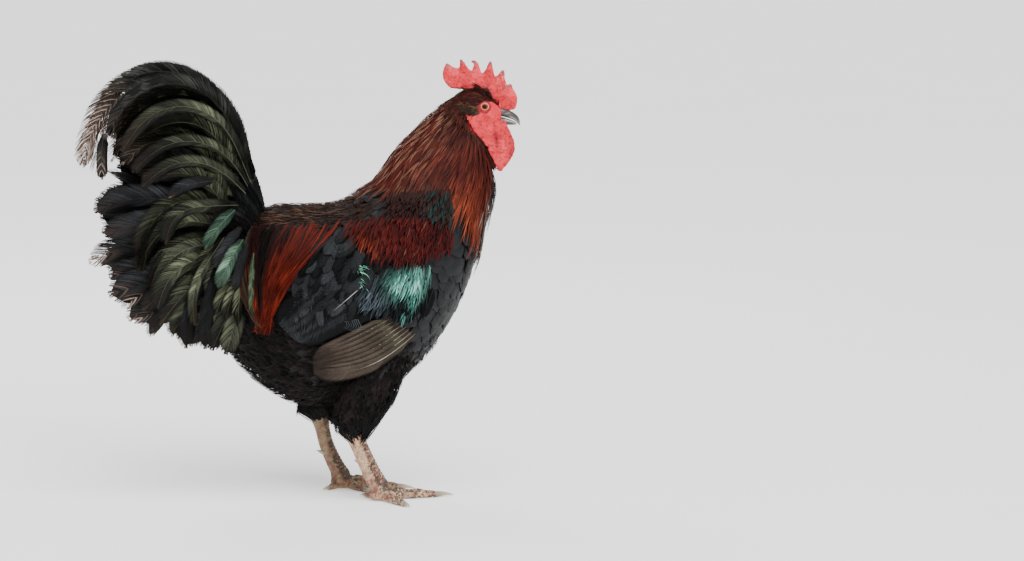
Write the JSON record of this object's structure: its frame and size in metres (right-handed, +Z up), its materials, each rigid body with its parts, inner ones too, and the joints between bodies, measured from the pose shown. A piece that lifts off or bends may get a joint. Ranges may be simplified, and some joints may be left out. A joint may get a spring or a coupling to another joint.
{
  "type": "marans cock",
  "caption": "Standing domestic cock of the copper black Marans kind, life size, with comb, wattles, hackle, folded wings and sickle tail.",
  "frame": {"origin": "the floor under the middle of the bird's box, with both feet standing on it", "axes": "+X the way the bird faces, +Y its left side, +Z up"},
  "size_m": [0.562, 0.2002, 0.5565],
  "materials": {
    "hackle": "satin lance feathers, dark mahogany above turning copper red below",
    "plumage": "black feathers with a green sheen, dark red on the shoulders and saddle",
    "skin": "bare grained coral-red skin",
    "horn": "polished dark horn with a pale tip",
    "scales": "pinkish slate scales",
    "eye": "wet orange-brown eye"
  },
  "bodies": {
    "root": {"neck": "hackle", "torso": "plumage", "tail": "plumage", "wing_right": "plumage", "wing_left": "plumage", "thigh_right": "plumage", "thigh_left": "plumage", "head": "skin", "comb": "skin", "wattle_right": "skin", "wattle_left": "skin", "earlobe_right": "skin", "earlobe_left": "skin", "beak_upper": "horn", "beak_lower": "horn", "claw_middle_right": "horn", "claw_middle_left": "horn", "claw_inner_right": "horn", "claw_inner_left": "horn", "claw_outer_right": "horn", "claw_outer_left": "horn", "claw_hind_right": "horn", "claw_hind_left": "horn", "spur_right": "horn", "spur_left": "horn", "shank_right": "scales", "shank_left": "scales", "foot_right": "scales", "foot_left": "scales", "toe_middle_right": "scales", "toe_middle_left": "scales", "toe_inner_right": "scales", "toe_inner_left": "scales", "toe_outer_right": "scales", "toe_outer_left": "scales", "toe_hind_right": "scales", "toe_hind_left": "scales", "eye_right": "eye", "eye_left": "eye"}
  },
  "joints": []
}
